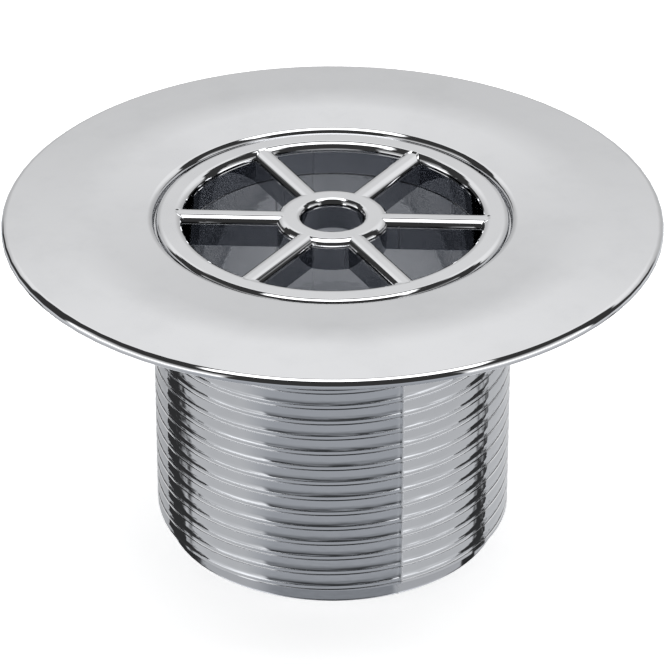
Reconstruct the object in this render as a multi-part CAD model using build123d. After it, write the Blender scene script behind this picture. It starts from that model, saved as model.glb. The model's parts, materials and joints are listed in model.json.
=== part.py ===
"""Shower waste: a flanged, threaded tail and the six-spoke grid that presses into its top.

Millimetres, +Z up. The origin is on the axis, in the plane of the flange's underside.
"""
import os
from math import radians, tan

from build123d import *

# Tail
TAIL_L = 45.0             # underside of the flange to the tail end
TAIL_D = 47.7             # over the crests of a nominal 1 1/2 inch pipe thread
TAIL_WALL = 3.85          # crest to bore
SEAT_WALL = 2.2           # wall left beside the seat of the grid's skirt
ROOT_CHAMFER = 1.2        # between the tail and the underside of the flange
LEAD_L = 2.1              # plain lead-in band at the tail end
LEAD_STEP = 1.35          # radial step from the crests down to the band
LEAD_SHOULDER = 0.6       # height of the slope that makes the step
END_CHAMFER = 0.4         # both edges of the tail end

# Flange
FLANGE_D = 87.0
RIM_T = 1.45              # thickness at the rim
RIM_LAND = 0.2            # upright part of the rim, between its round and its chamfer
RIM_CHAMFER = 0.5         # lower edge
CREST_D = 66.0            # ring where the outer slope meets the dish
CREST_RISE = 0.35         # of that ring above the rim, before blending
CREST_BLEND = 74.0        # radius between the two slopes
LIP_RISE = 0.15           # of the lip round the grid, above the grid's top
LIP_CHAMFER = 0.9

# Grid
GRID_TOP = 1.25           # above the underside of the flange
GRID_DEPTH = 4.5
GRID_RIM_T = 1.2          # rim above its seat
GRID_RIM_LEDGE = 1.7      # radial width of the rim outside the skirt
GRID_RIM_CHAMFER = 0.5
SKIRT_T = 1.85            # skirt wall at the split line
SKIRT_CHAMFER = 0.4
HUB_D = 14.8              # at the split line
HUB_WALL = 3.3            # at the split line
SPOKES = 6
SPOKE_W = 2.9             # at the split line
SPOKE_TURN = -2.4         # degrees about +Z, of the first spoke from +X
RIB_DROP = 0.3            # tops of the hub and spokes below the top of the ring
RING_ROUND = 1.05         # upper inner edge of the ring
SPLIT_LAND = 0.12         # upright land below the upper rounds, where the mould halves meet
GRID_DRAFT = 2.0          # degrees, on the walls below the land

# Fits
PRESS_GAP = 0.05          # radial, between the skirt and its seat
SKIRT_END_GAP = 0.25      # below the skirt
RIM_GAP = 0.3             # radial, the groove between the grid's rim and the flange

# Radii and heights that the two pieces share
SEAT_R = TAIL_D / 2 - SEAT_WALL
SKIRT_R = SEAT_R - PRESS_GAP
WINDOW_R = SKIRT_R - SKIRT_T
GRID_RIM_R = SKIRT_R + GRID_RIM_LEDGE
SEAT_Z = GRID_TOP - GRID_RIM_T
SPLIT_Z = GRID_TOP - RING_ROUND - SPLIT_LAND
RIB_TOP = GRID_TOP - RIB_DROP
RIB_ROUND = RING_ROUND - RIB_DROP
GRID_BOTTOM = GRID_TOP - GRID_DEPTH
DRAFT_INSET = (SPLIT_Z - GRID_BOTTOM) * tan(radians(GRID_DRAFT))


def section(points, rounds=(), chamfers=()):
    """A closed outline with some corners rounded or chamfered, each given as (point, size)."""
    face = make_face(Polyline(*points, close=True))
    for point, size in rounds:
        face = fillet(face.vertices().sort_by_distance(point)[0], size)
    for point, size in chamfers:
        face = chamfer(face.vertices().sort_by_distance(point)[0], size)
    return face


def turned(half_section):
    """Turn an outline of (radius, height) points about the axis."""
    return revolve(Plane.XZ * half_section, Axis.Z)


def waste_body():
    """Flange and tail, moulded as one piece, with the stepped seat for the grid."""
    tail_r = TAIL_D / 2
    bore_r = tail_r - TAIL_WALL
    lead_r = tail_r - LEAD_STEP
    lead_top = LEAD_L - TAIL_L
    recess_r = GRID_RIM_R + RIM_GAP
    ledge_z = GRID_BOTTOM - SKIRT_END_GAP

    bore_end = (bore_r, -TAIL_L)
    tail_end = (lead_r, -TAIL_L)
    root = (tail_r, 0)
    rim_low = (FLANGE_D / 2, 0)
    rim_high = (FLANGE_D / 2, RIM_T)
    crest = (CREST_D / 2, RIM_T + CREST_RISE)
    lip = (recess_r, GRID_TOP + LIP_RISE)
    outline = [
        bore_end,
        tail_end,
        (lead_r, lead_top),
        (tail_r, lead_top + LEAD_SHOULDER),
        root,
        rim_low,
        rim_high,
        crest,
        lip,
        (recess_r, SEAT_Z),
        (SEAT_R, SEAT_Z),
        (SEAT_R, ledge_z),
        (bore_r, ledge_z),
    ]
    rounds = [(crest, CREST_BLEND), (rim_high, RIM_T - RIM_LAND - RIM_CHAMFER)]
    chamfers = [
        (rim_low, RIM_CHAMFER),
        (lip, LIP_CHAMFER),
        (root, ROOT_CHAMFER),
        (tail_end, END_CHAMFER),
        (bore_end, END_CHAMFER),
    ]
    return turned(section(outline, rounds, chamfers))


def grid_ring():
    """Rim and skirt of the grid, with a drafted inner wall."""
    window_edge = (WINDOW_R, GRID_TOP)
    rim_edge = (GRID_RIM_R, GRID_TOP)
    skirt_end = (SKIRT_R, GRID_BOTTOM)
    outline = [
        window_edge,
        (WINDOW_R, SPLIT_Z),
        (WINDOW_R + DRAFT_INSET, GRID_BOTTOM),
        skirt_end,
        (SKIRT_R, SEAT_Z),
        (GRID_RIM_R, SEAT_Z),
        rim_edge,
    ]
    chamfers = [(rim_edge, GRID_RIM_CHAMFER), (skirt_end, SKIRT_CHAMFER)]
    return turned(section(outline, [(window_edge, RING_ROUND)], chamfers))


def rib_section(low, high):
    """Cross-section of a rib from low to high at the split line: rounded above, drafted below."""
    low_edge = (low, RIB_TOP)
    high_edge = (high, RIB_TOP)
    outline = [
        low_edge,
        (low, SPLIT_Z),
        (low + DRAFT_INSET, GRID_BOTTOM),
        (high - DRAFT_INSET, GRID_BOTTOM),
        (high, SPLIT_Z),
        high_edge,
    ]
    return section(outline, [(low_edge, RIB_ROUND), (high_edge, RIB_ROUND)])


def spoke():
    """One spoke along +X, from the middle of the hub's wall to the middle of the ring's."""
    start = (HUB_D - HUB_WALL) / 2
    end = (WINDOW_R + RING_ROUND + SKIRT_R) / 2
    return extrude(Plane.YZ.offset(start) * rib_section(-SPOKE_W / 2, SPOKE_W / 2), end - start)


def waste_grid():
    """Ring, hub and spokes, moulded as one piece with mitred rounds where hub and spokes meet."""
    hub = turned(rib_section(HUB_D / 2 - HUB_WALL, HUB_D / 2))
    one_spoke = spoke()
    turns = [SPOKE_TURN + index * 360 / SPOKES for index in range(SPOKES)]
    spokes = [Rot(Z=turn) * one_spoke for turn in turns]
    return grid_ring() + hub + spokes


os.makedirs("parts", exist_ok=True)
export_step(waste_body(), "parts/waste_body.step")
export_step(waste_grid(), "parts/waste_grid.step")
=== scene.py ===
"""Shower waste: a chrome-plated flange with a threaded tail, and the six-spoke grid in its top.

Metres, +Z up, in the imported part's frame. The origin is on the axis, in the plane of the flange's
underside.
"""

import json
import math

import bmesh
import bpy
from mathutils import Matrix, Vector


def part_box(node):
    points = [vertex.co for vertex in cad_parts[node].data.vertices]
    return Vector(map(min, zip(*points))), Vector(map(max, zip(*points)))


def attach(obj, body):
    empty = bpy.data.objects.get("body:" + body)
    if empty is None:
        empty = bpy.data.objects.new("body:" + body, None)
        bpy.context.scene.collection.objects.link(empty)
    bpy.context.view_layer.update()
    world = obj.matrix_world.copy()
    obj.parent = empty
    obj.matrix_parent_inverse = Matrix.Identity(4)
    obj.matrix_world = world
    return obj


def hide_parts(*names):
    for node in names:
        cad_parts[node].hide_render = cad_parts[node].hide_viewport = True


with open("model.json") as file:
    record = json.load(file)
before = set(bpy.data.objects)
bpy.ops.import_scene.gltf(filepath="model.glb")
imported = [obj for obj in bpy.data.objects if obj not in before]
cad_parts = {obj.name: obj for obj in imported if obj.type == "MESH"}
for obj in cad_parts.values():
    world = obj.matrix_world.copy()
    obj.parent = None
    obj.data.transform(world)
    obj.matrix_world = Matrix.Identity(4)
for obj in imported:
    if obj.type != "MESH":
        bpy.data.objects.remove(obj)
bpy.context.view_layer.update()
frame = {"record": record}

MM = 0.001
body_low, body_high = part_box("waste_body")
grid_low, grid_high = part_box("waste_grid")
mounts = {mount["name"]: mount["dims"] for mount in frame["record"]["mounts"]}

# Flange and tail
FLANGE_R = body_high.x
RIM_T = 1.45 * MM
RIM_ROUND = 0.82 * MM
RIM_BEVEL_W = 0.9 * MM         # bevel under the rim
RIM_BEVEL_H = 0.35 * MM
RIM_EDGE_ROUND = 0.08 * MM     # where the bevel meets the upright rim
BEVEL_ROUND = 0.3 * MM         # where the bevel meets the underside
CREST_R = 33.0 * MM            # ring where the outer slope meets the dish
CREST_RISE = 0.35 * MM
CREST_BLEND = 74.0 * MM
LIP_RISE = 0.15 * MM           # of the lip above the grid's top
LIP_ROUND = 0.85 * MM
RIM_GAP = 0.3 * MM             # groove between the grid's rim and the flange
SEAT_WALL = 2.2 * MM           # wall left beside the seat of the grid's skirt
SEAT_ROUND = 0.2 * MM          # corners of the seat and its ledge
SEAT_EDGE = 0.1 * MM           # upper edge of the skirt's seat
SKIRT_END_GAP = 0.06 * MM      # narrower than the solid's, so that it shows no dark line
ROOT_ROUND = 1.2 * MM
LEAD_L = 2.1 * MM              # plain band at the tail end
LEAD_STEP = 1.35 * MM
LEAD_SHOULDER = 0.6 * MM
LEAD_TAPER = 0.03 * MM
END_ROUND = 0.4 * MM
TAIL_END = body_low.z
TAIL_R = mounts["threaded_tail"]["r_mm"] * MM
BORE_R = mounts["tail_bore"]["r_mm"] * MM

# Thread
PITCH = 2.309 * MM
GROOVE_DEPTH = 0.138 * MM
GROOVE_FLOOR = 0.352 * MM      # width of its flat floor
UPPER_FLANK = math.radians(28)  # both from the plane across the tail
LOWER_FLANK = math.radians(8)
ROOT_ROUND_R = 0.12 * MM
CREST_TOP_ROUND = 0.043 * MM   # softness of a crest's upper edge
CREST_FOOT_ROUND = 0.15 * MM   # softness of its lower edge
CREST_FALL = 0.054 * MM        # how far a crest falls away at its lower edge, on average
CREST_FALL_W = 1.044 * MM      # from the edge of the floor to where that fall begins
WANDER_SCALE = 9.0             # how often the fall changes round the tail
THREAD_TOP = -4.0 * MM
THREAD_FADE = 3.0 * MM
FRONT_GROOVE_Z = -23.40 * MM   # height of one groove where it crosses the front
FRONT_ANGLE = math.radians(-90)
SEAM_ANGLE = math.radians(-67.5)
SEAM_W = 0.32 * MM
SEAM_H = 0.05 * MM
FLASH_W = 0.20 * MM            # unpolished line left where the flash was trimmed

# Grid
GRID_TOP = grid_high.z
GRID_BOTTOM = grid_low.z
GRID_RIM_R = grid_high.x
GRID_RIM_T = 1.2 * MM
GRID_RIM_ROUND = 0.85 * MM
GRID_EDGE = 0.1 * MM           # lower edge of the rim, and where it meets the skirt
PRESS_GAP = 0.05 * MM
SKIRT_T = 1.85 * MM
SKIRT_ROUND = 0.4 * MM
HUB_R = 7.4 * MM
HUB_WALL = 3.3 * MM
SPOKES = 6
SPOKE_W = 2.9 * MM
SPOKE_TURN = math.radians(-2.4)
RIB_DROP = 0.15 * MM           # tops of the hub and spokes below the ring's, less than the solid's
RIB_EASE = 0.5 * MM            # length of a spoke over which its top comes down
GRID_ROUND = 1.05 * MM         # upper inner edge of the ring, and across the ribs
HOLE_ROUND = 0.7 * MM          # across the upper edge of the hub hole
SPLIT_LAND = 0.12 * MM
SPLIT_FLASH = 0.03 * MM        # bead left along the line where the mould halves met
GRID_DRAFT = math.radians(2)
RIB_FOOT = 0.15 * MM           # round along the lower edges of the grid

# Plating
BRIGHT_PLATE = (0.642, 0.647, 0.660, 1)
HAZED_PLATE = (0.615, 0.620, 0.633, 1)
# plate colour below one height on each piece, darker than the rest
DARKER_PLATE = (0.285, 0.295, 0.322, 1)
POLISH = 0.025                 # roughness of clean plate
UNPOLISHED = 0.02              # added to it where no polishing wheel reaches
FLASH_ROUGHNESS = 0.45
HAZE_SCALE = 110.0             # of each noise, per metre
SPECKLE_SCALE = 2600.0
RIPPLE_SCALE = 240.0
PIT_SCALE = 330.0
STREAK_SCALE = (260, 260, 2600)
DENT_SCALE = (650, 650, 900)
RELIEF = 0.02 * MM             # height of the bump at full strength

SEAT_R = TAIL_R - SEAT_WALL
SEAT_Z = GRID_TOP - GRID_RIM_T
SKIRT_R = SEAT_R - PRESS_GAP
WINDOW_R = SKIRT_R - SKIRT_T
HOLE_R = HUB_R - HUB_WALL
SPLIT_Z = GRID_TOP - GRID_ROUND - SPLIT_LAND
DRAFT_INSET = (SPLIT_Z - GRID_BOTTOM) * math.tan(GRID_DRAFT)
LEAD_R = TAIL_R - LEAD_STEP
LEAD_TOP = TAIL_END + LEAD_L
SHOULDER_TOP = LEAD_TOP + LEAD_SHOULDER
HALF_SECTOR = math.pi / SPOKES

# Mesh fineness
COLUMNS = 132                  # round the body
SEAM_CROWD = 0.88              # how closely the columns gather at the two mould seams
TURN_ROWS = 32                 # rows across one turn of the thread
ROW_PLACES = (                 # (row, distance below the middle of the groove), closest at the edges
    (2, 0.166 * MM), (6, 0.250 * MM), (9, 0.2934 * MM), (10, 0.2997 * MM), (11, 0.3057 * MM),
    (12, 0.330 * MM), (14, 1.089 * MM), (20, 1.780 * MM), (21, 1.885 * MM), (22, 1.930 * MM),
    (31, 2.160 * MM),
)
SHOULDER_ROWS = 8
RING_STEPS = 60                # along the ring, for half a window
ROOT_STEPS = 4                 # across half a spoke, where it meets the ring and the hub
EASE_STEPS = 8                 # along a spoke, where its top comes down
SPOKE_STEPS = 12               # along the rest of a spoke
HUB_STEPS = 8                  # along the hub, for half a window
ROUND_STEPS = 10               # over the grid's upper rounds
BODY_SHARP = math.radians(50)  # edges that turn by more than this stay sharp
GRID_SHARP = math.radians(40)
ARC_STEP = math.radians(9)
EDGE_STEP = 0.04 * MM          # narrow strip beside each round, so that the flats shade evenly
WELD = 0.003 * MM


def spaced(start, end, steps):
    """Evenly spaced values or points from start to end."""
    return [start + (end - start) * (k / steps) for k in range(steps + 1)]


def polar(radius, angle, height):
    return Vector((radius * math.cos(angle), radius * math.sin(angle), height))


def rounded(corners):
    """Points along an outline given by corners of (radius, height, round)."""
    points = []
    for index, (radius, height, size) in enumerate(corners):
        corner = Vector((radius, height))
        if size == 0:
            points.append(corner)
            continue
        back = (Vector(corners[index - 1][:2]) - corner).normalized()
        ahead = (Vector(corners[index + 1][:2]) - corner).normalized()
        turn = math.pi - back.angle(ahead)
        reach = size * math.tan(turn / 2)
        centre = corner + (back + ahead).normalized() * (size / math.cos(turn / 2))
        start = (corner + back * reach - centre).normalized()
        end = (corner + ahead * reach - centre).normalized()
        steps = max(8, round(turn / ARC_STEP))
        points.append(corner + back * (reach + EDGE_STEP))
        points += [centre + start.slerp(end, k / steps) * size for k in range(steps + 1)]
        points.append(corner + ahead * (reach + EDGE_STEP))
    return points


def feed(tree, socket, value):
    """Set a node input to a value, or link it to an output."""
    if isinstance(value, bpy.types.NodeSocket):
        tree.links.new(value, socket)
    else:
        socket.default_value = value


def add(tree, kind, inputs=None, **settings):
    """Add a node with these settings and inputs."""
    node = tree.nodes.new(kind)
    for name, value in settings.items():
        setattr(node, name, value)
    for name, value in (inputs or {}).items():
        feed(tree, node.inputs[name], value)
    return node


def calc(tree, operation, *terms):
    """Output of a Math node."""
    node = add(tree, "ShaderNodeMath", operation=operation)
    for socket, term in zip(node.inputs, terms):
        feed(tree, socket, term)
    return node.outputs[0]


def ramp(tree, value, start, end, low=0.0, high=1.0, smooth="SMOOTHSTEP"):
    """Output that goes from low to high while value goes from start to end."""
    inputs = {"Value": value, "From Min": start, "From Max": end, "To Min": low, "To Max": high}
    return add(tree, "ShaderNodeMapRange", inputs, interpolation_type=smooth).outputs["Result"]


def band(tree, value, start, end, edge):
    """Output that is 1 between start and end, and fades out across each end."""
    rise = ramp(tree, value, start - edge / 2, start + edge / 2)
    return calc(tree, "MULTIPLY", rise, ramp(tree, value, end + edge / 2, end - edge / 2))


def curve_through(tree, value, points, straight=True):
    """Output of a curve through these points of (value, output), straight between them or smooth."""
    node = add(tree, "ShaderNodeFloatCurve", {"Value": value})
    curve = node.mapping.curves[0]
    for place, level in points[1:-1]:
        curve.points.new(place, level)
    curve.points[0].location = points[0]
    curve.points[-1].location = points[-1]
    if straight:
        for point in curve.points:
            point.handle_type = "VECTOR"
    node.mapping.update()
    return node.outputs[0]


def geometry_tree(name, inputs):
    """A geometry node tree with a mesh in and out, and these named inputs of (name, kind)."""
    tree = bpy.data.node_groups.new(name, "GeometryNodeTree")
    tree.interface.new_socket("Mesh", in_out="INPUT", socket_type="NodeSocketGeometry")
    for label, kind in inputs:
        tree.interface.new_socket(label, in_out="INPUT", socket_type="NodeSocket" + kind)
    tree.interface.new_socket("Mesh", in_out="OUTPUT", socket_type="NodeSocketGeometry")
    return tree


def grown(mesh, tree, values, name):
    """The mesh that a geometry node tree makes from another mesh, as a new object."""
    source = bpy.data.objects.new(name + "_source", mesh)
    bpy.context.scene.collection.objects.link(source)
    modifier = source.modifiers.new("Grow", "NODES")
    modifier.node_group = tree
    for item in tree.interface.items_tree:
        if item.in_out == "INPUT" and item.name in values:
            modifier[item.identifier] = values[item.name]
    graph = bpy.context.evaluated_depsgraph_get()
    result = bpy.data.meshes.new_from_object(source.evaluated_get(graph))
    source.modifiers.remove(modifier)
    bpy.data.objects.remove(source)
    result.name = name
    piece = bpy.data.objects.new(name, result)
    bpy.context.scene.collection.objects.link(piece)
    return piece


def face_outwards(mesh):
    """Turn every face of a closed mesh outwards."""
    work = bmesh.new()
    work.from_mesh(mesh)
    bmesh.ops.recalc_face_normals(work, faces=work.faces)
    work.to_mesh(mesh)
    work.free()


def column_angle(share):
    """Angle of the column at this share of a turn from the seam."""
    return SEAM_ANGLE + math.tau * share - SEAM_CROWD * math.sin(2 * math.tau * share) / 2


def turned_body():
    """Everything on the body but its thread: end, bore, seat, flange and neck, as an open mesh."""
    ledge_z = GRID_BOTTOM - SKIRT_END_GAP
    recess_r = GRID_RIM_R + RIM_GAP
    outline = rounded([
        (LEAD_R, LEAD_TOP, 0),
        (LEAD_R - LEAD_TAPER, TAIL_END, END_ROUND),
        (BORE_R, TAIL_END, END_ROUND),
        (BORE_R, ledge_z, SEAT_ROUND),
        (SEAT_R, ledge_z, SEAT_ROUND),
        (SEAT_R, SEAT_Z, SEAT_EDGE),
        (recess_r, SEAT_Z, SEAT_ROUND),
        (recess_r, GRID_TOP + LIP_RISE, LIP_ROUND),
        (CREST_R, RIM_T + CREST_RISE, CREST_BLEND),
        (FLANGE_R, RIM_T, RIM_ROUND),
        (FLANGE_R, RIM_BEVEL_H, RIM_EDGE_ROUND),
        (FLANGE_R - RIM_BEVEL_W, 0, BEVEL_ROUND),
        (TAIL_R, 0, ROOT_ROUND),
        (TAIL_R, THREAD_TOP, 0),
    ])
    angles = [column_angle(k / COLUMNS) for k in range(COLUMNS)]
    work = bmesh.new()
    rows = [[work.verts.new(polar(point.x, angle, point.y)) for angle in angles] for point in outline]
    for row, other in zip(rows, rows[1:]):
        for here in range(COLUMNS):
            after = (here + 1) % COLUMNS
            work.faces.new((row[here], row[after], other[after], other[here]))
    mesh = bpy.data.meshes.new("turned_body")
    work.to_mesh(mesh)
    work.free()
    return mesh


def thread_tree():
    """Adds a helical thread to a turned body, with a shoulder at its foot and a mould seam each side."""
    tree = geometry_tree("Threaded Tail", [
        ("Columns", "Int"), ("Turn Rows", "Int"), ("Helix Rows", "Int"), ("Shoulder Rows", "Int"),
        ("Crest Radius", "Float"), ("Pitch", "Float"), ("Groove Depth", "Float"),
        ("Groove Height", "Float"), ("Floor Width", "Float"), ("Upper Flank", "Float"),
        ("Lower Flank", "Float"), ("Root Radius", "Float"), ("Crest Top Round", "Float"),
        ("Crest Foot Round", "Float"), ("Crest Fall", "Float"), ("Fall Width", "Float"),
        ("Top", "Float"), ("Fade", "Float"), ("Shoulder Top", "Float"), ("Shoulder Height", "Float"),
        ("Foot Radius", "Float"), ("Seam Angle", "Float"), ("Seam Crowd", "Float"),
        ("Seam Width", "Float"), ("Seam Height", "Float"), ("Weld", "Float"), ("Finish", "Material"),
    ])
    given = add(tree, "NodeGroupInput").outputs
    rows = calc(tree, "ADD", calc(tree, "ADD", given["Helix Rows"], given["Shoulder Rows"]), 1)
    grid = add(tree, "GeometryNodeMeshGrid", {
        "Vertices X": calc(tree, "ADD", given["Columns"], 1),
        "Vertices Y": rows,
    })

    # Place of each point: its column round the tail and its row down the thread
    index = add(tree, "GeometryNodeInputIndex").outputs[0]
    column = calc(tree, "FLOOR", calc(tree, "DIVIDE", calc(tree, "ADD", index, 0.5), rows))
    row = calc(tree, "SUBTRACT", index, calc(tree, "MULTIPLY", column, rows))
    share = calc(tree, "DIVIDE", column, given["Columns"])
    wave = calc(tree, "SINE", calc(tree, "MULTIPLY", share, 2 * math.tau))
    crowding = calc(tree, "MULTIPLY", calc(tree, "MULTIPLY", wave, given["Seam Crowd"]), -0.5)
    swing = calc(tree, "MULTIPLY_ADD", share, math.tau, crowding)
    angle = calc(tree, "ADD", swing, given["Seam Angle"])
    turned = calc(tree, "DIVIDE", swing, math.tau)

    # Rows follow the helix, most of them in the groove, and stop at the neck and the shoulder
    count = calc(tree, "DIVIDE", row, given["Turn Rows"])
    places = [(place / TURN_ROWS, below / PITCH) for place, below in ROW_PLACES]
    spread = curve_through(tree, calc(tree, "FRACT", count), [(0.0, 0.0), *places, (1.0, 1.0)])
    phase = calc(tree, "ADD", calc(tree, "FLOOR", count), spread)
    drop = calc(tree, "MULTIPLY", calc(tree, "SUBTRACT", phase, turned), given["Pitch"])
    helix_z = calc(tree, "SUBTRACT", given["Groove Height"], drop)
    clamped_z = calc(tree, "MAXIMUM", calc(tree, "MINIMUM", helix_z, given["Top"]), given["Shoulder Top"])
    below = calc(tree, "MAXIMUM", calc(tree, "SUBTRACT", row, given["Helix Rows"]), 0)
    step = calc(tree, "DIVIDE", given["Shoulder Height"], given["Shoulder Rows"])
    height = calc(tree, "SUBTRACT", clamped_z, calc(tree, "MULTIPLY", below, step))

    # Radius: crest, less the groove, plus the seam, cut off by the shoulder
    down = calc(tree, "DIVIDE", calc(tree, "SUBTRACT", given["Groove Height"], height), given["Pitch"])
    turns = calc(tree, "ADD", down, turned)
    off_centre = calc(tree, "SUBTRACT", turns, calc(tree, "ROUND", turns))
    across = calc(tree, "MULTIPLY", off_centre, given["Pitch"])
    half_floor = calc(tree, "MULTIPLY", given["Floor Width"], 0.5)
    past_floor = calc(tree, "SUBTRACT", calc(tree, "ABSOLUTE", across), half_floor)
    off = calc(tree, "MAXIMUM", past_floor, 0.0)
    above = ramp(tree, across, half_floor, calc(tree, "MULTIPLY", half_floor, -1))

    def by_side(upper, lower):
        """Output that is upper above the middle of the groove and lower below it."""
        return calc(tree, "MULTIPLY_ADD", calc(tree, "SUBTRACT", upper, lower), above, lower)

    flank_angle = by_side(given["Upper Flank"], given["Lower Flank"])
    slope = calc(tree, "DIVIDE", 1.0, calc(tree, "TANGENT", flank_angle))
    touch = calc(tree, "MULTIPLY", given["Root Radius"], calc(tree, "COSINE", flank_angle))
    root_top = calc(tree, "SUBTRACT", given["Groove Depth"], given["Root Radius"])
    flank_sine = calc(tree, "SINE", flank_angle)
    touch_depth = calc(tree, "MULTIPLY_ADD", given["Root Radius"], flank_sine, root_top)
    squared = calc(tree, "MULTIPLY", given["Root Radius"], given["Root Radius"])
    rise = calc(tree, "MAXIMUM", calc(tree, "SUBTRACT", squared, calc(tree, "MULTIPLY", off, off)), 0.0)
    root = calc(tree, "ADD", root_top, calc(tree, "SQRT", rise))
    past_root = calc(tree, "SUBTRACT", off, touch)
    flank = calc(tree, "SUBTRACT", touch_depth, calc(tree, "MULTIPLY", past_root, slope))
    in_root = calc(tree, "LESS_THAN", off, touch)
    bare = calc(tree, "MULTIPLY_ADD", calc(tree, "SUBTRACT", root, flank), in_root, flank)

    # The crest's lower edge falls away by an amount that wanders round the tail
    wander = add(tree, "ShaderNodeTexNoise", {
        "Vector": add(tree, "ShaderNodeCombineXYZ", {
            "X": calc(tree, "SINE", angle), "Y": calc(tree, "COSINE", angle),
            "Z": calc(tree, "DIVIDE", height, given["Pitch"]),
        }).outputs[0],
        "Scale": WANDER_SCALE, "Detail": 2.0,
    })
    half_width = calc(tree, "ADD", touch, calc(tree, "DIVIDE", touch_depth, slope))
    fallen = ramp(tree, off, given["Fall Width"], half_width, smooth="LINEAR")
    fall = calc(tree, "MULTIPLY", calc(tree, "MULTIPLY", fallen, fallen), given["Crest Fall"])
    wandering = calc(tree, "MULTIPLY", wander.outputs[0], 2.0)
    fall = calc(tree, "MULTIPLY", calc(tree, "MULTIPLY", fall, above), wandering)
    softness = by_side(given["Crest Foot Round"], given["Crest Top Round"])
    groove = calc(tree, "SMOOTH_MAX", bare, fall, softness)
    grown_in = ramp(tree, height, given["Top"], calc(tree, "SUBTRACT", given["Top"], given["Fade"]))
    cut = calc(tree, "MULTIPLY", groove, grown_in)
    seam_sine = calc(tree, "ABSOLUTE", calc(tree, "SINE", swing))
    from_seam = calc(tree, "MULTIPLY", seam_sine, given["Crest Radius"])
    seam = calc(tree, "MULTIPLY", ramp(tree, from_seam, given["Seam Width"], 0.0), given["Seam Height"])
    seam = calc(tree, "MULTIPLY", seam, grown_in)
    threaded = calc(tree, "ADD", calc(tree, "SUBTRACT", given["Crest Radius"], cut), seam)
    foot_z = calc(tree, "SUBTRACT", given["Shoulder Top"], given["Shoulder Height"])
    shoulder = ramp(
        tree, height, foot_z, given["Shoulder Top"], given["Foot Radius"],
        calc(tree, "ADD", given["Crest Radius"], given["Seam Height"]), smooth="LINEAR",
    )
    radius = calc(tree, "MINIMUM", threaded, shoulder)
    position = add(tree, "ShaderNodeCombineXYZ", {
        "X": calc(tree, "MULTIPLY", radius, calc(tree, "COSINE", angle)),
        "Y": calc(tree, "MULTIPLY", radius, calc(tree, "SINE", angle)),
        "Z": height,
    }).outputs[0]
    placed = add(tree, "GeometryNodeSetPosition", {"Geometry": grid.outputs["Mesh"], "Position": position})

    joined = add(tree, "GeometryNodeJoinGeometry")
    tree.links.new(given["Mesh"], joined.inputs[0])
    tree.links.new(placed.outputs[0], joined.inputs[0])
    real = add(tree, "GeometryNodeRealizeInstances", {"Geometry": joined.outputs[0]})
    welded = add(tree, "GeometryNodeMergeByDistance", {
        "Geometry": real.outputs[0], "Distance": given["Weld"],
    })
    smooth = add(tree, "GeometryNodeSetShadeSmooth", {"Geometry": welded.outputs[0]})
    finished = add(tree, "GeometryNodeSetMaterial", {
        "Geometry": smooth.outputs[0], "Material": given["Finish"],
    })
    add(tree, "NodeGroupOutput", {"Mesh": finished.outputs[0]})
    return tree


def waste_body(finish):
    """Flange and threaded tail in one piece."""
    from_front = (SEAM_ANGLE - FRONT_ANGLE) / math.tau
    groove_z = FRONT_GROOVE_Z + from_front * PITCH
    groove_z += math.ceil((THREAD_TOP - groove_z) / PITCH) * PITCH
    turns = math.ceil((groove_z - SHOULDER_TOP) / PITCH) + 1
    piece = grown(turned_body(), thread_tree(), {
        "Columns": COLUMNS, "Turn Rows": TURN_ROWS, "Helix Rows": turns * TURN_ROWS,
        "Shoulder Rows": SHOULDER_ROWS, "Crest Radius": TAIL_R, "Pitch": PITCH,
        "Groove Depth": GROOVE_DEPTH, "Groove Height": groove_z, "Floor Width": GROOVE_FLOOR,
        "Upper Flank": UPPER_FLANK, "Lower Flank": LOWER_FLANK, "Root Radius": ROOT_ROUND_R,
        "Crest Top Round": CREST_TOP_ROUND, "Crest Foot Round": CREST_FOOT_ROUND,
        "Crest Fall": CREST_FALL, "Fall Width": CREST_FALL_W, "Top": THREAD_TOP, "Fade": THREAD_FADE,
        "Shoulder Top": SHOULDER_TOP, "Shoulder Height": LEAD_SHOULDER, "Foot Radius": LEAD_R,
        "Seam Angle": SEAM_ANGLE, "Seam Crowd": SEAM_CROWD, "Seam Width": SEAM_W,
        "Seam Height": SEAM_H, "Weld": WELD, "Finish": finish,
    }, "plated_body")
    face_outwards(piece.data)
    piece.data.set_sharp_from_angle(angle=BODY_SHARP)
    return piece


def wall_levels():
    """(inset into the ribs, height) down the wall of a window or of the hub hole."""
    levels = [(GRID_ROUND + EDGE_STEP, GRID_TOP)]
    for angle in spaced(0, math.pi / 2, ROUND_STEPS):
        levels.append((GRID_ROUND * (1 - math.sin(angle)), GRID_TOP - GRID_ROUND * (1 - math.cos(angle))))
    levels.append((-SPLIT_FLASH, SPLIT_Z + SPLIT_LAND / 2))
    foot = [
        (0, SPLIT_Z, 0),
        (DRAFT_INSET, GRID_BOTTOM, RIB_FOOT),
        (DRAFT_INSET + 2 * RIB_FOOT, GRID_BOTTOM, 0),
    ]
    levels += [(point.x, point.y) for point in rounded(foot)]
    return levels


def sunk(height, share=1.0):
    """Height of a point on a rib whose top is lowered by a share of the drop, while its foot stays."""
    return height - share * RIB_DROP * max(0.0, height - SPLIT_Z) / (GRID_TOP - SPLIT_Z)


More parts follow.
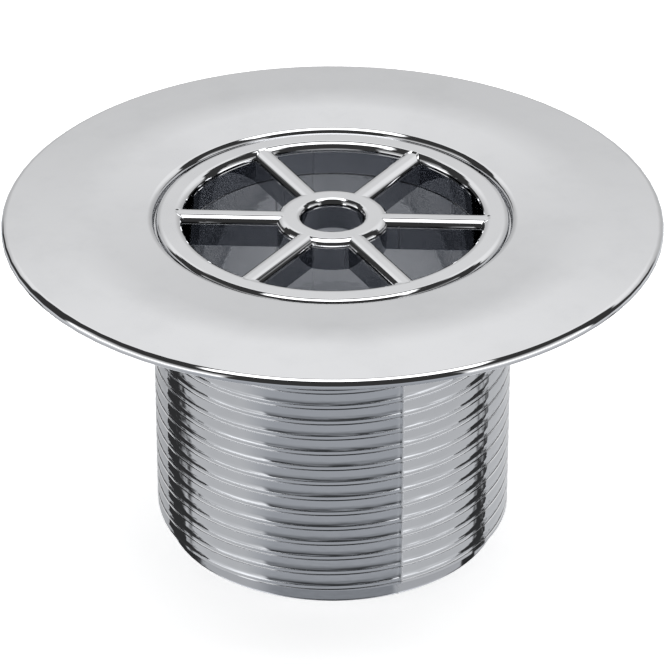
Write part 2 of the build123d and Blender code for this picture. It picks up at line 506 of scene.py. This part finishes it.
def half_window(inset, height):
    """Half of a window's edge beside the spoke on +X: ring side, spoke side and hub side in turn."""
    ring_r = WINDOW_R + inset
    hub_r = HUB_R - inset
    half_width = SPOKE_W / 2 - inset
    ring_angles = spaced(HALF_SECTOR, math.asin(half_width / ring_r), RING_STEPS)
    hub_angles = spaced(math.asin(half_width / hub_r), HALF_SECTOR, HUB_STEPS)
    ring_side = [polar(ring_r, angle, height) for angle in ring_angles]
    hub_side = [polar(hub_r, angle, sunk(height)) for angle in hub_angles]
    spoke_side = []
    root, tip = ring_side[-1], hub_side[0]
    length = (root - tip).xy.length
    for place in spaced(0, RIB_EASE, EASE_STEPS) + spaced(RIB_EASE, length, SPOKE_STEPS)[1:]:
        point = root.lerp(tip, place / length)
        share = min(1.0, place / RIB_EASE)
        spoke_side.append(Vector((point.x, point.y, sunk(height, share * share * (3 - 2 * share)))))
    return ring_side, spoke_side, hub_side


def grid_sector():
    """A sixth of the grid, round the spoke on +X, as an open mesh."""
    work = bmesh.new()
    known = {}

    def vertex(point):
        key = tuple(round(value * 1e7) for value in point)
        if key not in known:
            known[key] = work.verts.new(point)
        return known[key]

    def strip(row, other):
        """Faces between two rows of points, and between their mirror images across the spoke."""
        for side in (1, -1):
            flipped = [[Vector((p.x, side * p.y, p.z)) for p in line] for line in (row, other)]
            one, two = [[vertex(point) for point in line] for line in flipped]
            for k in range(len(one) - 1):
                corners = list(dict.fromkeys((one[k], one[k + 1], two[k + 1], two[k])))
                if len(corners) > 2:
                    work.faces.new(corners)

    def land(inset, height, ring_edge, hole_edge):
        """Flat top or bottom, between a window and the edges of the ring and the hub hole."""
        ring_side, spoke_side, hub_side = half_window(inset, height)
        middle = [Vector((point.x, 0, point.z)) for point in spoke_side]
        strip(ring_side, ring_edge[:RING_STEPS + 1])
        strip(spaced(spoke_side[0], middle[0], ROOT_STEPS), ring_edge[RING_STEPS:])
        strip(spoke_side, middle)
        strip(spaced(middle[-1], spoke_side[-1], ROOT_STEPS), hole_edge[:ROOT_STEPS + 1])
        strip(hub_side, hole_edge[ROOT_STEPS:])

    levels = wall_levels()
    windows = [half_window(inset, height) for inset, height in levels]
    for upper, lower in zip(windows, windows[1:]):
        for side, side_below in zip(upper, lower):
            strip(side, side_below)

    top_inset = levels[0][0]
    half_width = SPOKE_W / 2 - top_inset
    ring_corner = math.asin(half_width / (WINDOW_R + top_inset))
    hub_corner = math.asin(half_width / (HUB_R - top_inset))
    ring_angles = spaced(HALF_SECTOR, ring_corner, RING_STEPS) + spaced(ring_corner, 0, ROOT_STEPS)[1:]
    hole_angles = spaced(0, hub_corner, ROOT_STEPS) + spaced(hub_corner, HALF_SECTOR, HUB_STEPS)[1:]
    rim = rounded([
        (GRID_RIM_R - 2 * GRID_RIM_ROUND, GRID_TOP, 0),
        (GRID_RIM_R, GRID_TOP, GRID_RIM_ROUND),
        (GRID_RIM_R, SEAT_Z, GRID_EDGE),
        (SKIRT_R, SEAT_Z, GRID_EDGE),
        (SKIRT_R, GRID_BOTTOM, SKIRT_ROUND),
        (SKIRT_R - 2 * SKIRT_ROUND, GRID_BOTTOM, 0),
    ])
    rim_rows = [[polar(point.x, angle, point.y) for angle in ring_angles] for point in rim]
    hole_rows = []
    for inset, height in levels:
        radius = HOLE_R + inset * (HOLE_ROUND / GRID_ROUND if height > SPLIT_Z else 1)
        hole_rows.append([polar(radius, angle, sunk(height)) for angle in hole_angles])
    for rows in (rim_rows, hole_rows):
        for row, other in zip(rows, rows[1:]):
            strip(row, other)
    land(*levels[0], rim_rows[0], hole_rows[0])
    land(*levels[-1], rim_rows[-1], hole_rows[-1])

    bmesh.ops.recalc_face_normals(work, faces=work.faces)
    for edge in work.edges:
        if len(edge.link_faces) == 2 and edge.calc_face_angle() > GRID_SHARP:
            edge.smooth = False
    for side in (1, -1):
        for corner in (0, -1):
            points = [window[1][corner] for window in windows]
            line = [vertex(Vector((p.x, side * p.y, p.z))) for p in points]
            for above, below in zip(line, line[1:]):
                work.edges.get((above, below)).smooth = False
    mesh = bpy.data.meshes.new("grid_sector")
    work.to_mesh(mesh)
    work.free()
    return mesh


def round_axis_tree():
    """Repeats a sector round the vertical axis and welds the copies."""
    tree = geometry_tree("Repeat Round Axis", [
        ("Count", "Int"), ("First Turn", "Float"), ("Weld", "Float"), ("Finish", "Material"),
    ])
    given = add(tree, "NodeGroupInput").outputs
    points = add(tree, "GeometryNodePoints", {"Count": given["Count"]})
    index = add(tree, "GeometryNodeInputIndex").outputs[0]
    turn = calc(tree, "MULTIPLY", index, calc(tree, "DIVIDE", math.tau, given["Count"]))
    angle = calc(tree, "ADD", turn, given["First Turn"])
    rotation = add(tree, "FunctionNodeEulerToRotation", {
        "Euler": add(tree, "ShaderNodeCombineXYZ", {"Z": angle}).outputs[0],
    })
    copies = add(tree, "GeometryNodeInstanceOnPoints", {
        "Points": points.outputs[0], "Instance": given["Mesh"], "Rotation": rotation.outputs[0],
    })
    real = add(tree, "GeometryNodeRealizeInstances", {"Geometry": copies.outputs[0]})
    welded = add(tree, "GeometryNodeMergeByDistance", {
        "Geometry": real.outputs[0], "Distance": given["Weld"],
    })
    finished = add(tree, "GeometryNodeSetMaterial", {
        "Geometry": welded.outputs[0], "Material": given["Finish"],
    })
    add(tree, "NodeGroupOutput", {"Mesh": finished.outputs[0]})
    return tree


def waste_grid(finish):
    """Six-spoke grid in one piece."""
    values = {"Count": SPOKES, "First Turn": SPOKE_TURN, "Weld": WELD, "Finish": finish}
    piece = grown(grid_sector(), round_axis_tree(), values, "plated_grid")
    face_outwards(piece.data)
    return piece


def plating_group():
    """Bright chrome plate on moulded plastic: faint tint and gloss changes, ripple, dents and a few pits.

    The plate colour is darker below one height, and unpolished there and inside the bore.
    """
    group = bpy.data.node_groups.new("Chrome Plate", "ShaderNodeTree")
    for label, default in (
        ("Ripple", 0.2), ("Streaks", 0.0), ("Dents", 0.0), ("Flash", 0.0), ("Pits", 0.3),
        ("Gloss Loss", 0.03), ("Darker Below", -1.0), ("Darker Share", 1.0), ("Bore Radius", 0.0),
    ):
        socket = group.interface.new_socket(label, in_out="INPUT", socket_type="NodeSocketFloat")
        socket.default_value = default
    for label, kind in (("Color", "Color"), ("Roughness", "Float"), ("Normal", "Vector")):
        group.interface.new_socket(label, in_out="OUTPUT", socket_type="NodeSocket" + kind)
    given = add(group, "NodeGroupInput").outputs
    place = add(group, "ShaderNodeTexCoord").outputs["Object"]
    at = add(group, "ShaderNodeSeparateXYZ", {"Vector": place}).outputs
    squares = [calc(group, "MULTIPLY", at[axis], at[axis]) for axis in ("X", "Y")]
    off_axis = calc(group, "SQRT", calc(group, "ADD", *squares))
    on_tail = ramp(group, at["Z"], -1 * MM, -3 * MM)
    below_height = calc(group, "LESS_THAN", at["Z"], given["Darker Below"])
    inside = calc(group, "LESS_THAN", off_axis, given["Bore Radius"])

    def noise(scale, detail, **more):
        """Noise over the surface, at one scale or at one for each axis."""
        vector = place
        if isinstance(scale, tuple):
            stretched = add(group, "ShaderNodeVectorMath", {0: place, 1: scale}, operation="MULTIPLY")
            vector, scale = stretched.outputs[0], 1.0
        inputs = {"Vector": vector, "Scale": scale, "Detail": detail, **more}
        return add(group, "ShaderNodeTexNoise", inputs).outputs["Fac"]

    # Tint, and the gloss lost to haze and specks
    smudge = ramp(group, noise(HAZE_SCALE, 4.0, Roughness=0.6), 0.42, 0.72)
    speckle = ramp(group, noise(SPECKLE_SCALE, 2.0), 0.58, 0.78)
    bright = add(group, "ShaderNodeMix", {
        "Factor": smudge, "A": BRIGHT_PLATE, "B": HAZED_PLATE,
    }, data_type="RGBA")
    # Darker plate colour below one height
    color = add(group, "ShaderNodeMix", {
        "Factor": calc(group, "MULTIPLY", below_height, given["Darker Share"]),
        "A": bright.outputs["Result"], "B": DARKER_PLATE,
    }, data_type="RGBA")
    dulled = calc(group, "MULTIPLY_ADD", smudge, 0.6, calc(group, "MULTIPLY", speckle, 0.4))
    roughness = calc(group, "MULTIPLY_ADD", dulled, given["Gloss Loss"], POLISH)
    hidden = calc(group, "MAXIMUM", inside, below_height)
    roughness = calc(group, "MULTIPLY_ADD", hidden, UNPOLISHED, roughness)

    # Dull line down the tail, where the mould's flash was trimmed
    seam_at = calc(group, "SUBTRACT", calc(group, "ARCTAN2", at["Y"], at["X"]), SEAM_ANGLE)
    from_seam = calc(group, "MULTIPLY", calc(group, "ABSOLUTE", calc(group, "SINE", seam_at)), off_axis)
    flash = ramp(group, from_seam, given["Flash"], calc(group, "MULTIPLY", given["Flash"], 0.5))
    flash = calc(group, "MULTIPLY", flash, calc(group, "MULTIPLY", on_tail, FLASH_ROUGHNESS))
    roughness = calc(group, "MAXIMUM", roughness, flash)

    # Relief: ripple everywhere, streaks and dents on the tail, and a pit in a few cells outside the bore
    cells = add(group, "ShaderNodeTexVoronoi", {"Vector": place, "Scale": PIT_SCALE}).outputs
    pit = ramp(group, cells["Distance"], 0.03, 0.07)
    cell_draw = add(group, "ShaderNodeSeparateColor", {"Color": cells["Color"]}).outputs[0]
    pitted = calc(group, "SUBTRACT", ramp(group, cell_draw, 0.93, 0.94), inside)
    pit_depth = calc(group, "MULTIPLY", calc(group, "SUBTRACT", 1.0, pit), pitted)
    pit_depth = calc(group, "MAXIMUM", pit_depth, 0.0)
    dents = calc(group, "MULTIPLY", noise(DENT_SCALE, 1.0), given["Dents"])
    marks = calc(group, "MULTIPLY_ADD", noise(STREAK_SCALE, 2.0), given["Streaks"], dents)
    marks = calc(group, "MULTIPLY", marks, on_tail)
    height = calc(group, "MULTIPLY_ADD", noise(RIPPLE_SCALE, 1.0), given["Ripple"], marks)
    height = calc(group, "SUBTRACT", height, calc(group, "MULTIPLY", pit_depth, given["Pits"]))
    bump = add(group, "ShaderNodeBump", {"Height": height, "Strength": 1.0, "Distance": RELIEF})
    add(group, "NodeGroupOutput", {
        "Color": color.outputs["Result"], "Roughness": roughness, "Normal": bump.outputs[0],
    })
    return group


def chrome(name, group, values):
    """A chrome finish for one piece, with these inputs of the group."""
    material = bpy.data.materials.new(name)
    material.use_nodes = True
    tree = material.node_tree
    shader = tree.nodes["Principled BSDF"]
    shader.inputs["Metallic"].default_value = 1.0
    plate = add(tree, "ShaderNodeGroup", values, node_tree=group)
    tree.links.new(plate.outputs["Color"], shader.inputs["Base Color"])
    tree.links.new(plate.outputs["Roughness"], shader.inputs["Roughness"])
    tree.links.new(plate.outputs["Normal"], shader.inputs["Normal"])
    return material


plate = plating_group()
body_values = {
    "Ripple": 0.03, "Streaks": 0.08, "Dents": 0.35, "Flash": FLASH_W, "Pits": 0.3, "Gloss Loss": 0.03,
    "Darker Below": LEAD_TOP, "Darker Share": 0.3, "Bore Radius": BORE_R + 0.1 * MM,
}
grid_values = {
    "Ripple": 0.03, "Pits": 0.0, "Gloss Loss": 0.03, "Darker Below": SPLIT_Z - 0.05 * MM, "Darker Share": 1.0,
}
body = waste_body(chrome("body_chrome", plate, body_values))
grid = waste_grid(chrome("grid_chrome", plate, grid_values))
for piece, node, slot in ((body, "waste_body", "body_chrome"), (grid, "waste_grid", "grid_chrome")):
    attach(piece, "root")
    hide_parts(node)


# Stage
FLOOR_SIZE = 6.0
FLOOR_GLOW = 0.72
PATCH_GLOW = 0.19
PATCH_LIFT = 0.02 * MM
PAPER_ROUGHNESS = 0.9


def laid_paper(name, material_name, mesh, color, specular, glow, strength):
    """A piece of matt paper that also glows."""
    material = bpy.data.materials.new(material_name)
    material.use_nodes = True
    sockets = material.node_tree.nodes["Principled BSDF"].inputs
    for label, value in (
        ("Base Color", color), ("Roughness", PAPER_ROUGHNESS), ("Specular IOR Level", specular),
        ("Emission Color", glow), ("Emission Strength", strength),
    ):
        sockets[label].default_value = value
    mesh.materials.append(material)
    piece = bpy.data.objects.new(name, mesh)
    bpy.context.scene.collection.objects.link(piece)
    return piece


half = FLOOR_SIZE / 2
floor_mesh = bpy.data.meshes.new("floor")
floor_mesh.from_pydata(
    [(-half, -half, TAIL_END), (half, -half, TAIL_END), (half, half, TAIL_END), (-half, half, TAIL_END)],
    [], [(0, 1, 2, 3)],
)
floor = laid_paper("floor", "floor_paper", floor_mesh, (0.95, 0.95, 0.95, 1), 0.1, (1, 1, 1, 1), FLOOR_GLOW)
floor.visible_glossy = False

# The patch of floor inside the tail, which the bore does reflect
patch_mesh = bpy.data.meshes.new("floor_in_bore")
work = bmesh.new()
bmesh.ops.create_circle(work, cap_ends=True, segments=64, radius=BORE_R)
work.to_mesh(patch_mesh)
work.free()
patch = laid_paper(
    "floor_in_bore", "floor_in_bore", patch_mesh, (0.8, 0.8, 0.8, 1), 0.5, (0.94, 1, 1.1, 1), PATCH_GLOW)
patch.location.z = TAIL_END + PATCH_LIFT


# Studio. Angles are in degrees, round from the camera's side or up from the horizon.
LEFT_PANEL = (-95, -35)
RIGHT_PANEL = (43, 92)
PANEL_LEVEL = 1.9
PANEL_DIM = -0.36              # change across the middle of each panel
BACKDROP_ENDS = (-128, 114)
LOW_NARROWING = 0.865          # scale of the angle round at the backdrop's foot, to draw its ends in
BACKDROP_LEVEL = 2.5
BACKDROP_RISE = (              # (angle up, share of that level)
    (0, 0.26), (10, 0.27), (23, 0.33), (28.7, 0.385), (35, 0.46), (42, 0.47), (90, 0.50),
)
SOFTBOX_LEVEL = 3.2
ROOM_LEVEL = 0.05
FRONT_TABLE = (                # (angle down, level)
    (0, 0.50), (12, 0.50), (19, 0.62), (24, 0.50), (28.7, 0.49), (33, 0.47), (36, 0.36), (45, 0.06),
    (60, 0.06), (90, 0.065),
)
SIDE_TABLE = (
    (0, 0.65), (12, 0.65), (19, 1.1), (24, 0.68), (28.7, 0.65), (36, 0.67), (40, 0.78), (45, 1.25),
    (50, 1.6), (90, 1.6),
)
TABLE_TINT = (0.955, 1.0, 1.075, 1)


def studio_walls(sky, heading, elevation, azimuth):
    """Light from above: a pale backdrop, a white panel at each side, a softbox and a dark room."""
    left = band(sky, azimuth, *LEFT_PANEL, 4)
    right = band(sky, azimuth, *RIGHT_PANEL, 4)
    panels = calc(sky, "MULTIPLY", calc(sky, "ADD", left, right), ramp(sky, elevation, 44, 8))
    panels = calc(sky, "MULTIPLY", panels, PANEL_LEVEL)
    dimmed = calc(sky, "MULTIPLY_ADD", band(sky, elevation, 10, 30, 6), PANEL_DIM, 1.0)
    panels = calc(sky, "MULTIPLY", panels, dimmed)

    # Backdrop, brighter towards its straight top edge and narrower at its foot
    up = calc(sky, "MAXIMUM", heading["Z"], 0.02)
    along = calc(sky, "DIVIDE", heading["Y"], up)
    across = calc(sky, "DIVIDE", heading["X"], up)
    narrowed = calc(sky, "MULTIPLY", azimuth, ramp(sky, elevation, 20, 6, 1.0, LOW_NARROWING))
    behind = calc(sky, "SUBTRACT", 1.0, band(sky, narrowed, *BACKDROP_ENDS, 8))
    rise = [(angle / 90, level) for angle, level in BACKDROP_RISE]
    level = curve_through(sky, calc(sky, "DIVIDE", elevation, 90), rise, straight=False)
    top_edge = ramp(sky, calc(sky, "MULTIPLY_ADD", across, 0.12, along), 0.86, 0.96)
    backdrop = calc(sky, "MULTIPLY", calc(sky, "MULTIPLY", level, BACKDROP_LEVEL), behind)
    backdrop = calc(sky, "MULTIPLY", backdrop, top_edge)

    # Softbox overhead, wider towards the camera
    width = calc(sky, "MAXIMUM", calc(sky, "MULTIPLY_ADD", along, -0.42, 0.45), 0.01)
    from_middle = calc(sky, "ABSOLUTE", calc(sky, "SUBTRACT", across, 0.05))
    side = calc(sky, "DIVIDE", from_middle, width)
    softbox = calc(sky, "MULTIPLY", band(sky, along, -0.22, 0.6, 0.08), ramp(sky, side, 1.1, 0.92))
    softbox = calc(sky, "MULTIPLY", softbox, SOFTBOX_LEVEL)
    walls = calc(sky, "MAXIMUM", calc(sky, "ADD", backdrop, panels), softbox)
    return calc(sky, "MAXIMUM", walls, ROOM_LEVEL)


def table_level(sky, elevation, levels):
    """Output that runs straight between these pairs of (angle down, level)."""
    points = [(angle / 90, level / 2) for angle, level in levels]
    return calc(sky, "MULTIPLY", curve_through(sky, calc(sky, "DIVIDE", elevation, -90), points), 2.0)


def blend(tree, first, second, share):
    """Output that goes from first to second as share goes from 0 to 1."""
    return calc(tree, "MULTIPLY_ADD", calc(tree, "SUBTRACT", second, first), share, first)


def studio_table(sky, elevation, azimuth):
    """Light from a table, as the plating reflects it, and the share of its sides in it."""
    sharp_side = calc(sky, "SUBTRACT", 1.0, band(sky, azimuth, -47, 49, 6))
    soft_side = calc(sky, "ADD", ramp(sky, azimuth, -36, -64), ramp(sky, azimuth, 42, 46))
    to_side = blend(sky, soft_side, sharp_side, ramp(sky, elevation, -34, -40))
    front = table_level(sky, elevation, FRONT_TABLE)
    sides = table_level(sky, elevation, SIDE_TABLE)
    light = blend(sky, front, sides, to_side)

    # A dark shape on the table at each side, its upper edge ragged and highest where it ends
    place = add(sky, "ShaderNodeCombineXYZ", {
        "X": calc(sky, "DIVIDE", azimuth, 10), "Y": calc(sky, "DIVIDE", elevation, 2.5),
    }).outputs[0]
    ragged = add(sky, "ShaderNodeTexNoise", {"Vector": place, "Scale": 1.0, "Detail": 3.0}).outputs["Fac"]
    ragged = calc(sky, "SUBTRACT", ragged, 0.5)
    end_angle = calc(sky, "MULTIPLY_ADD", ragged, 24, azimuth)
    edge = calc(sky, "MULTIPLY_ADD", ragged, 16, -95)
    for value, start, end, change in (
        (azimuth, -90, -97, 57), (azimuth, -94, -124, 9), (end_angle, -132, -138, -9),
        (azimuth, 90, 97, 57), (azimuth, 95, 116, 8.5), (end_angle, 119, 124, -9),
    ):
        edge = calc(sky, "ADD", edge, ramp(sky, value, start, end, 0, change))
    dark_shape = ramp(sky, calc(sky, "SUBTRACT", elevation, edge), 1.5, -1.5)
    near_side = calc(sky, "SUBTRACT", 1.0, ramp(sky, azimuth, -128, -138))
    near_side = calc(sky, "SUBTRACT", near_side, ramp(sky, azimuth, 118, 126))
    lit_below = calc(sky, "MULTIPLY", near_side, ramp(sky, elevation, -46, -52))
    dark_shape = calc(sky, "MULTIPLY", dark_shape, calc(sky, "SUBTRACT", 1.0, lit_below))
    share = calc(sky, "MULTIPLY_ADD", dark_shape, -0.94, ramp(sky, end_angle, -138, -132, 0.8, 1.0))
    return calc(sky, "MULTIPLY", light, calc(sky, "MAXIMUM", share, 0.06)), to_side


world = bpy.data.worlds.new("studio")
bpy.context.scene.world = world
world.use_nodes = True
sky = world.node_tree
direction = add(sky, "ShaderNodeTexCoord").outputs["Generated"]
heading = add(sky, "ShaderNodeSeparateXYZ", {"Vector": direction}).outputs
elevation = calc(sky, "DEGREES", calc(sky, "ARCSINE", heading["Z"]))
to_camera = calc(sky, "MULTIPLY", heading["Y"], -1)
azimuth = calc(sky, "DEGREES", calc(sky, "ARCTAN2", heading["X"], to_camera))
walls = studio_walls(sky, heading, elevation, azimuth)
table, to_side = studio_table(sky, elevation, azimuth)
below = ramp(sky, elevation, -6, -12)
tinted = calc(sky, "MULTIPLY", below, calc(sky, "MULTIPLY_ADD", to_side, -0.6, 1.0))
tint = add(sky, "ShaderNodeMix", {"Factor": tinted, "A": (1, 1, 1, 1), "B": TABLE_TINT}, data_type="RGBA")
studio_light = sky.nodes["Background"]
sky.links.new(blend(sky, walls, table, below), studio_light.inputs["Strength"])
sky.links.new(tint.outputs["Result"], studio_light.inputs["Color"])

# Camera at the photograph's viewing angle
camera = bpy.data.objects.new("camera", bpy.data.cameras.new("camera"))
bpy.context.scene.collection.objects.link(camera)
camera.location = (0, -0.47970, 0.26236)
camera.rotation_euler = (math.radians(59.802), 0, 0)
camera.data.sensor_width = 36
camera.data.lens = 224.88
camera.data.clip_start = 0.01
bpy.context.scene.camera = camera
bpy.context.scene.view_settings.view_transform = "Standard"
